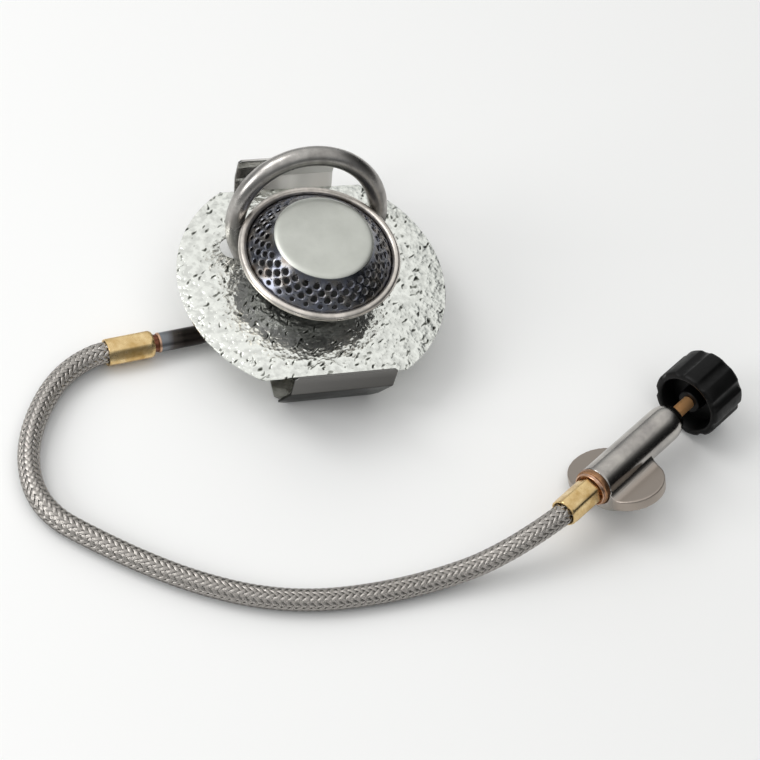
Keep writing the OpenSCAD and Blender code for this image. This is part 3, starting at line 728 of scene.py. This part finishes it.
border = cellBorder()
cells = []
for row in range(cap["rows"]):
    last = row == cap["rows"] - 1
    holeRadius = (cap["smallHole"] if last else cap["hole"]) / 2
    dimpleRadius = cap["smallDimple"] if last else cap["dimple"]
    depth = cap["depth"] * (cap["smallDepth"] if last else 1)
    cell = startPiece("capCell", bpy.ops.mesh.primitive_circle_add, vertices=cellSides, radius=1)
    editAll(cell)
    for ring in range(1, 5):     # five rings in all, one radius apart
        bpy.ops.mesh.extrude_edges_move(TRANSFORM_OT_translate={"value": (0, 0, 0)})
        bpy.ops.transform.resize(value=((ring + 1) / ring,) * 3, center_override=(0, 0, 0))
    leaveEdit()
    columnWidth = 2 * pi * (cap["firstRow"] + row * cap["rowStep"]) / cap["perRow"]
    rowHeight = cap["rowStep"] * hypot(1, cap["rise"])
    # radius and depth of each ring: the hole's edge, the dimple's slope, its rim, the cell's edge
    ringShapes = [(holeRadius, depth), (holeRadius + 0.12, depth * 0.8),
                  (dimpleRadius - 0.06, depth * 0.12), (dimpleRadius + 0.08, 0), (0, 0)]
    places = []
    for vertex in cell.data.vertices:
        ring = round(vertex.co.length)
        turned = atan2(vertex.co.y, vertex.co.x) / (2 * pi)
        corner = border[round(turned * cellSides) % cellSides]
        way = Vector((corner[0] * columnWidth, corner[1] * rowHeight)).normalized()
        radius, sunk = ringShapes[ring - 1]
        column, down = way.x * radius / columnWidth, way.y * radius / rowHeight
        if ring == len(ringShapes):
            column, down = corner
        places.append((column, down, sunk))
    for index in range(cap["perRow"]):
        copy = cell.copy()
        copy.data = cell.data.copy()
        addToScene(copy)
        for vertex, (column, down, sunk) in zip(copy.data.vertices, places):
            vertex.co = coneAt(index + (row % 2) / 2 + column, row + down, sunk)
        cells.append(copy)
    bpy.data.objects.remove(cell)

# the plain foot and the rounded shoulder with its flat disc close the cone above and below
capTop = [(18.78, 45.53), (18.55, 45.86), (18.25, 46.25), (17.8, 46.58), (17.2, 46.82),
          (16.4, 46.96), (15.4, 47), (8, 47)]
perColumn = 8     # places along a cell's width
columns = cap["perRow"] * perColumn


def edgeRow(row):
    # the zigzag edge of a row of cells
    reach = [cellPeak + (1 - 2 * cellPeak) * min(k, perColumn - k) / (perColumn / 2)
             for k in range(perColumn)]
    return [(k / perColumn + (row % 2) / 2, row + (1 if row else -1) * reach[k % perColumn])
            for k in range(columns)]


edgeVerts, edgeFaces = [], []
for row, level in cap["closeAt"].items():
    start = len(edgeVerts)
    edgeVerts += [coneAt(column, down) for column, down in edgeRow(row)]
    edgeVerts += [coneAt(column, level) for column, down in edgeRow(row)]
    for k in range(columns):
        a, b = start + k, start + (k + 1) % columns
        quad = (a, b, b + columns, a + columns)
        edgeFaces.append(quad if row else quad[::-1])
edgePiece = meshPiece("capEdges", edgeVerts, edgeFaces)
topPiece = turnedPiece("capTop", capTop, sides=columns, capped=True)
footPiece = turnedPiece("capFoot", [(26.742, 36.908), (26.75, 36.4), (26.75, 35.9)], sides=columns)
capPiece = joinPieces([topPiece, footPiece, edgePiece] + cells, cap["join"])
faceOutwards(capPiece)
capPiece.name = capPiece.data.name = "flameCap"
topFace = max(capPiece.data.polygons, key=lambda p: p.center.z)
if topFace.normal.z < 0:
    capPiece.data.flip_normals()
addModifier(capPiece, "SOLIDIFY", thickness=cap["sheet"] * mm, offset=-1)
finishPiece(capPiece, "capSteel", "flame_cap", angle=48)
secondFinish(capPiece, "capDisc", [
    p.index for p in capPiece.data.polygons if p.center.z > cap["discEdge"] * mm])
print("flame cap punched,", len(capPiece.data.polygons), "faces")

# Preheat tube: from the hose's neck under the plate, up, over the burner and down to the jet block
tube = {"diameter": 7.2, "loopRadius": 27, "loopSteps": 72, "lean": 18, "loopAt": (0, 19.728, 32.4),
        "feedHeight": 5.1, "feedCorner": (-40, -9.8), "feedLength": 17.4, "blockEnd": 5, "tight": 9,
        "wide": 14, "headingTurn": 8}
lean = radians(tube["lean"])
leanUp = Vector((0, sin(lean), cos(lean)))
loopAt = Vector(tube["loopAt"])
legDrop = (loopAt.z - plate["top"]) / cos(lean)
legTurn = asin(legDrop / tube["loopRadius"])
headingTurn = radians(tube["headingTurn"])
feedHeading = Vector((cos(headingTurn), sin(headingTurn), 0))


def loopPoint(angle):
    return loopAt + tube["loopRadius"] * (cos(angle) * Vector((1, 0, 0)) + sin(angle) * leanUp)


legs = {}
for side in (1, -1):
    top = loopPoint(-legTurn if side > 0 else pi + legTurn)
    down = Vector((-side * sin(legTurn), 0, 0)) - cos(legTurn) * leanUp
    legs[side] = (top, top + down * (top.z - tube["feedHeight"]) / -down.z)
rightCorner, leftCorner = legs[1][1], legs[-1][1]
blockEnd = Vector((rightCorner.x, rightCorner.y, 0)).normalized() * tube["blockEnd"]
blockEnd.z = tube["feedHeight"]
feedCorner = Vector((*tube["feedCorner"], tube["feedHeight"]))
feedEnd = feedCorner - feedHeading * tube["feedLength"]


def roundCorner(before, corner, after, bend, steps=14):
    # the points of a bend of a given radius between two straight lengths
    way, leave = (corner - before).normalized(), (after - corner).normalized()
    turn = way.angle(leave)
    start = corner - way * bend * tan(turn / 2)
    inward = (leave - way * way.dot(leave)).normalized()
    return [start + way * bend * sin(turn * k / steps)
            + inward * bend * (1 - cos(turn * k / steps)) for k in range(steps + 1)]


tubePoints = [feedEnd]
tubePoints += roundCorner(feedEnd, feedCorner, leftCorner, tube["wide"])
tubePoints += roundCorner(feedCorner, leftCorner, legs[-1][0], tube["tight"])
tubePoints += [loopPoint(pi + legTurn - (pi + 2 * legTurn) * k / tube["loopSteps"])
               for k in range(tube["loopSteps"] + 1)]
tubePoints += roundCorner(legs[1][0], rightCorner, blockEnd, tube["tight"])
tubePoints.append(blockEnd)
tubePath = bpy.data.curves.new("preheatPath", "CURVE")
tubePath.dimensions = "3D"
tubePath.bevel_depth = tube["diameter"] / 2 * mm
tubePath.bevel_resolution = 10
tubePath.use_fill_caps = True
spline = tubePath.splines.new("POLY")
spline.points.add(len(tubePoints) - 1)
for point, place in zip(spline.points, tubePoints):
    point.co = (*(place * mm), 1)
tubePiece = bpy.data.objects.new("preheatTube", tubePath)
addToScene(tubePiece)
makeActive(tubePiece)
bpy.ops.object.convert(target="MESH")
tubePiece = bpy.context.object
finishPiece(tubePiece, "preheatSteel", "preheat_tube")
print("preheat tube bent")

# Spring bracket: a strip folded into a web, two leaning legs and two upright lips
bracket = {"width": 38, "thick": 0.9, "foot": 39.0, "lip": 49.3, "bendHeight": 21, "top": 31.2,
           "turn": 1, "legClip": 3.1, "lipClip": 1.1, "bend": 1.4, "foldReach": 1.2,
           "webRows": (0, 18, 32), "edge": 0.16}
foot, lip = Vector((0, bracket["foot"], 0)), Vector((0, bracket["lip"], bracket["bendHeight"]))
tip = Vector((0, bracket["lip"], bracket["top"]))
halfStrip = [Vector((0, y, 0)) for y in bracket["webRows"]]
halfStrip += [Vector((0, foot.y - bracket["legClip"], 0))]
halfStrip += roundCorner(Vector((0, 0, 0)), foot, lip, bracket["bend"], 5)
halfStrip += [foot.lerp(lip, s) for s in (0.17, 0.4, 0.65, 0.85)]
halfStrip += roundCorner(foot, lip, tip, bracket["bend"], 5)
halfStrip += [lip.lerp(tip, s) for s in (0.3, 0.6)]
halfStrip += [tip - Vector((0, 0, bracket["lipClip"])), tip]


def stripWidth(point):
    # narrower at the fold under each leg, and clipped at the lips' corners
    half = bracket["width"] / 2
    if abs(point.y) > bracket["foot"] - bracket["foldReach"] and point.z < bracket["legClip"]:
        return half - (bracket["legClip"] - point.z)
    return half - bracket["lipClip"] if point.z > bracket["top"] - 0.01 else half


strip = [Vector((0, -p.y, p.z)) for p in halfStrip[:0:-1]] + halfStrip
bracketPiece = startPiece("springBracket", bpy.ops.mesh.primitive_plane_add, size=1 * mm)
editAll(bracketPiece)
bpy.ops.mesh.delete(type="ONLY_FACE")
leaveEdit()
rows = [(Vector((-stripWidth(p), p.y, p.z)), Vector((stripWidth(p), p.y, p.z))) for p in strip]
keepEdge(bracketPiece, rows[0])
for row in rows[1:]:
    extrudeEdgeTo(bracketPiece, row)
faceOutwards(bracketPiece)
webFace = min(bracketPiece.data.polygons, key=lambda p: p.center.length)
addModifier(bracketPiece, "SOLIDIFY", thickness=bracket["thick"] * mm,
            offset=-1 if webFace.normal.z < 0 else 1, use_even_offset=True)
softenEdges(bracketPiece, bracket["edge"])
finishPiece(bracketPiece, "rolledStainless", "spring_bracket",
            place=Matrix.Rotation(radians(bracket["turn"]), 4, "Z"))
print("bracket folded")

# Ferrules: hexagon brass, rounded where the tube enters, bored and flared where the hose does
ferrule = {"flats": 10, "length": hose["ferruleLength"], "throat": 1.6, "bore": 4.15, "seat": 4.5,
           "ridge": 0.34, "soft": 0.22, "turns": (30, 0)}
flat, mouth, bore = ferrule["flats"] / 2, ferrule["length"], ferrule["bore"]
ridge, throat = flat / cos(pi / 6) - ferrule["ridge"], ferrule["throat"]
ferruleProfile = [(throat, 2.6), (throat, 0), (flat - 0.9, 0), (flat - 0.5, 0.14),
                  (flat - 0.16, 0.5), (ridge - 0.3, 1.0), (ridge - 0.05, 1.5), (ridge, 2.1),
                  (ridge, 8), (ridge, mouth - 1.9), (ridge - 0.1, mouth - 1.3),
                  (ridge - 0.14, mouth - 0.7), (ridge - 0.12, mouth - 0.35),
                  (ridge - 0.3, mouth - 0.08), (ridge - 0.55, mouth),
                  (bore + 0.45, mouth), (bore + 0.15, mouth - 0.3), (bore, mouth - 0.8),
                  (bore, mouth - ferrule["seat"]), (throat, mouth - ferrule["seat"]), (throat, 2.6)]
neck = {"length": 2.8, "bore": 2.6, "filletTo": 0.85}
burnerWay = -feedHeading
burnerSide = Vector((0, 0, 1)).cross(burnerWay).normalized()
ferruleFace = feedEnd - feedHeading * neck["length"]


def alongWay(at, way, side):
    # local Z on a direction, with local X pointing down
    down = -way.cross(side)
    return Matrix(((down.x, side.x, way.x, at.x * mm), (down.y, side.y, way.y, at.y * mm),
                   (down.z, side.z, way.z, at.z * mm), (0, 0, 0, 1)))


burnerNeck = alongWay(feedEnd, burnerWay, burnerSide)
burnerFerruleAt = alongWay(ferruleFace, burnerWay, burnerSide)
valveFerruleAt = (valvePlace @ Matrix.Translation((ferruleStart * mm, 0, 0))
                  @ Matrix.Rotation(pi, 4, "Z") @ Matrix.Rotation(pi / 2, 4, "Y"))
for name, place, node, turned in zip(("burnerFerrule", "valveFerrule"),
                                     (burnerFerruleAt, valveFerruleAt),
                                     ("burner_ferrule", "valve_ferrule"), ferrule["turns"]):
    piece = turnedPiece(name, ferruleProfile, sides=144)
    flatten(piece, ferrule["flats"], ferrule["soft"])
    finishPiece(piece, "ferruleBrass", node,
                place=place @ Matrix.Rotation(radians(turned), 4, "Z"), angle=28)

# Brazed neck between the preheat tube and the ferrule: a pale fillet, then dark rings of copper
neckProfile = [(neck["bore"], 0), (3.58, 0), (3.68, 0.12), (3.7, 0.45), (3.62, 0.75), (3.36, 0.92),
               (3.24, 1.05), (3.3, 1.3), (3.22, 1.55), (3.22, 1.85), (3.32, 2.1), (3.26, 2.4),
               (3.34, neck["length"]), (neck["bore"], neck["length"]), (neck["bore"], 0)]
neckPiece = turnedPiece("brazedNeck", neckProfile, sides=96)
filletFaces = [p.index for p in neckPiece.data.polygons if p.center.z < neck["filletTo"] * mm]
finishPiece(neckPiece, "brazeCopper", "braze_collar", place=burnerNeck)
secondFinish(neckPiece, "brazeFillet", filletFaces)

# Copper union with two steps between the hose's ferrule and the valve
union = {"bore": 1.6, "length": valve["unionLength"], "step": 1.2, "brightTo": 1.1}
unionProfile = [(union["bore"], union["length"]), (union["bore"], union["step"]),
                (5.92, union["step"]), (5.92, 0.1), (6.02, 0), (6.22, 0), (6.36, 0.14),
                (6.37, 0.95), (6.45, 1.16), (6.68, 1.22), (6.9, 1.32), (6.99, 1.55), (7, 2.1),
                (7, 3.15), (6.92, 3.34), (6.8, union["length"]), (union["bore"], union["length"])]
unionPiece = turnedPiece("inletUnion", unionProfile, sides=120)
innerFaces = [p.index for p in unionPiece.data.polygons if p.center.z < union["brightTo"] * mm]
finishPiece(unionPiece, "unionCopper", "inlet_union",
            place=valveAlong @ Matrix.Translation((0, 0, unionStart * mm)))
secondFinish(unionPiece, "brazeFillet", innerFaces)
print("fittings turned")

# Valve body: the casting's edges run soft, as they come from the die
casting = {"voxel": 0.3, "smooth": 12, "wingFrom": 7, "wingBlend": 2.5}
bodyPiece = nodeCopy("valveBody", "valve_body")
addModifier(bodyPiece, "REMESH", mode="VOXEL", voxel_size=casting["voxel"] * mm)
addModifier(bodyPiece, "SMOOTH", factor=0.5, iterations=casting["smooth"])
wingShares = []
for vertex in bodyPiece.data.vertices:
    local = valvePlace.inverted() @ vertex.co / mm
    wingShares.append(max(0, min(1, (abs(local.y) - casting["wingFrom"]) / casting["wingBlend"])))
bodyPiece.data.attributes.new("wingShare", "FLOAT", "POINT").data.foreach_set("value", wingShares)
finishPiece(bodyPiece, "castNickel", "valve_body", angle=180)
print("valve cast,", len(bodyPiece.data.polygons), "faces")

# Knob: nine broad flutes, rounded rims, hollow round its hub on the side of the valve
knob = {"diameter": 27.8, "length": 17.8, "start": 42.8, "flutes": 9, "fluteRadius": 3.6,
        "fluteDepth": 0.8, "phase": 16, "recess": 7, "hub": 8.8, "bore": 4.9, "boreEnd": 13.8,
        "wall": 1.6, "blend": 1.2}
r, hub, bore, end = knob["diameter"] / 2, knob["hub"] / 2, knob["bore"] / 2, knob["length"]
knobProfile = [(bore, knob["boreEnd"]), (bore, 2), (hub - 0.3, 2), (hub, 2.3),
               (hub + 0.4, knob["recess"]), (r - 3.2, knob["recess"]), (r - 2.85, 0.6),
               (r - 2.5, 0.15), (r - 2, 0), (r - 1.3, 0), (r - 0.7, 0.12), (r - 0.25, 0.5),
               (r, 1.2), (r, 4), (r, 8), (r, 12), (r, end - 2.2), (r - 0.15, end - 1.4),
               (r - 0.55, end - 0.75), (r - 1.2, end - 0.28), (r - 2.2, end), (8, end), (4, end)]
knobPiece = turnedPiece("knob", knobProfile, sides=216, capped=True)
cutterAt = r + knob["fluteRadius"] - knob["fluteDepth"]
step = 2 * pi / knob["flutes"]
for vertex in knobPiece.data.vertices:
    radius = hypot(vertex.co.x, vertex.co.y) / mm
    if radius > r - knob["wall"]:     # only the outer wall is fluted
        angle = atan2(vertex.co.y, vertex.co.x) - radians(knob["phase"])
        angle = (angle + step / 2) % step - step / 2
        reach = knob["fluteRadius"] ** 2 - (cutterAt * sin(angle)) ** 2
        dip = max(0, r - (cutterAt * cos(angle) - sqrt(reach))) if reach > 0 else 0
        scale = (radius - dip * min(1, (radius - r + knob["wall"]) / knob["blend"])) / radius
        vertex.co.x *= scale
        vertex.co.y *= scale
finishPiece(knobPiece, "knobPlastic", "knob", body="knob",
            place=valveAlong @ Matrix.Translation((0, 0, knob["start"] * mm)), angle=40)

# Spindle: a needle, a threaded length, a groove for its ring and the shaft that carries the knob
spindle = {"tip": -5.2, "needle": -1.6, "needleRadius": 2, "thread": 2, "threadEnd": 25.5,
           "threadRadius": 2.95, "shaft": 2.4, "ringAt": 29, "ringMid": 2.25, "ringThick": 1.4,
           "middle": 40, "end": 56.3, "edge": 0.3}
shaft, edge, thread = spindle["shaft"], spindle["edge"], spindle["threadRadius"]
threadStart, threadEnd, ringHalf = spindle["thread"], spindle["threadEnd"], spindle["ringThick"] / 2
grooveReach = degrees(acos((shaft - spindle["ringMid"]) / ringHalf))
grooveTurns = [grooveReach + (360 - 2 * grooveReach) * k / 12 for k in range(13)]
spindleProfile = [(0.6, spindle["tip"]), (spindle["needleRadius"], spindle["needle"]),
                  (spindle["needleRadius"], threadStart), (thread - edge, threadStart),
                  (thread, threadStart + edge), (thread, threadEnd - edge),
                  (thread - edge, threadEnd), (shaft, threadEnd)]
spindleProfile += [(spindle["ringMid"] + ringHalf * cos(radians(a)),
                    spindle["ringAt"] - ringHalf * sin(radians(a))) for a in grooveTurns]
spindleProfile += [(shaft, spindle["middle"]), (shaft, spindle["end"] - edge),
                   (shaft - edge, spindle["end"])]
spindlePiece = turnedPiece("spindle", spindleProfile, sides=72, capped=True)
finishPiece(spindlePiece, "spindleBronze", "spindle", body="spindle",
            place=valveAlong, angle=30)

# Small turned parts keep their solids' shape, with their facets smoothed
smallParts = {     # finish and slot of each
    "gland_nut": ("glandSteel", "gland_steel"), "jet_block": ("turnedBrass", "brass_block"),
    "gas_jet": ("turnedBrass", "brass_bright"), "mixing_tube": ("drawnSteel", "tube_steel"),
    "mixer_nut": ("drawnSteel", "nut_steel"), "bracket_screw_left": ("drawnSteel", "screw_steel"),
    "bracket_screw_right": ("drawnSteel", "screw_steel"),
    "canister_seal": ("sealRubber", "seal_rubber"), "opener_pin": ("turnedBrass", "brass_bright"),
}
for node, (finish, slot) in smallParts.items():
    words = node.split("_")
    piece = nodeCopy(words[0] + "".join(w.title() for w in words[1:]) + "Smooth", node)
    finishPiece(piece, finish, node, angle=30)
print("knob and small parts made")

# Pale paper floor, two lamps and a soft sky, darker to the horizon and at a black flag on the right
studio = {"floor": "f6f6f5", "size": 6, "floorAt": -0.5, "sky": 1.0, "flag": (0.5, 0.84, 1, 0.06),
          "behind": (0.3, 0.95, 0, 0.34), "aim": (0, -0.03, 0)}
floor = startPiece("studioFloor", bpy.ops.mesh.primitive_plane_add, size=studio["size"],
                   location=(0, 0, studio["floorAt"] * mm))
floor.data.materials.append(newMaterial("studio paper, matte", studio["floor"], 0, 0.9)[0])

world = bpy.data.worlds.new("studio")
bpy.context.scene.world = world
world.use_nodes = True
worldTree = world.node_tree
background = worldTree.nodes["Background"]
direction = addNode(worldTree, "TexCoord")
parts = addNode(worldTree, "SeparateXYZ", {"Vector": (direction, "Generated")})
behind = addNode(worldTree, "MapRange", {"Value": (parts, "Y")},
                 span(*studio["behind"]), interpolation_type="SMOOTHSTEP")
level = addNode(worldTree, "Math", {0: (parts, "Z"), 1: (behind, "Result")}, operation="ADD")
sky = addNode(worldTree, "ValToRGB", {"Fac": (level, "Value")})
setRamp(sky, [(0.0, "4e5052"), (0.22, "66686a"), (0.42, "97999b"), (0.62, "d2d4d4"),
              (0.8, "f2f2f1"), (1.0, "ffffff")])
flag = addNode(worldTree, "MapRange", {"Value": (parts, "X")}, span(*studio["flag"]),
               interpolation_type="SMOOTHSTEP")
shaded = addNode(worldTree, "VectorMath", {0: (sky, "Color"), "Scale": (flag, "Result")},
                 operation="SCALE")
feed(background, {"Color": (shaded, "Vector")})
background.inputs["Strength"].default_value = studio["sky"]

lamps = [     # name, place, size and power
    ("softboxLeft", (-1.3, -0.16, 0.62), 0.6, 7),
    ("softboxTop", (-0.85, 0.45, 1.2), 0.8, 6),
]
for name, at, size, power in lamps:
    data = bpy.data.lights.new(name, "AREA")
    data.shape = "SQUARE"
    data.size = size
    data.energy = power
    lamp = bpy.data.objects.new(name, data)
    lamp.location = at
    lamp.rotation_euler = (Vector(studio["aim"]) - Vector(at)).to_track_quat("-Z", "Y").to_euler()
    addToScene(lamp)
bpy.context.scene.view_settings.view_transform = "Standard"
print("studio lit")
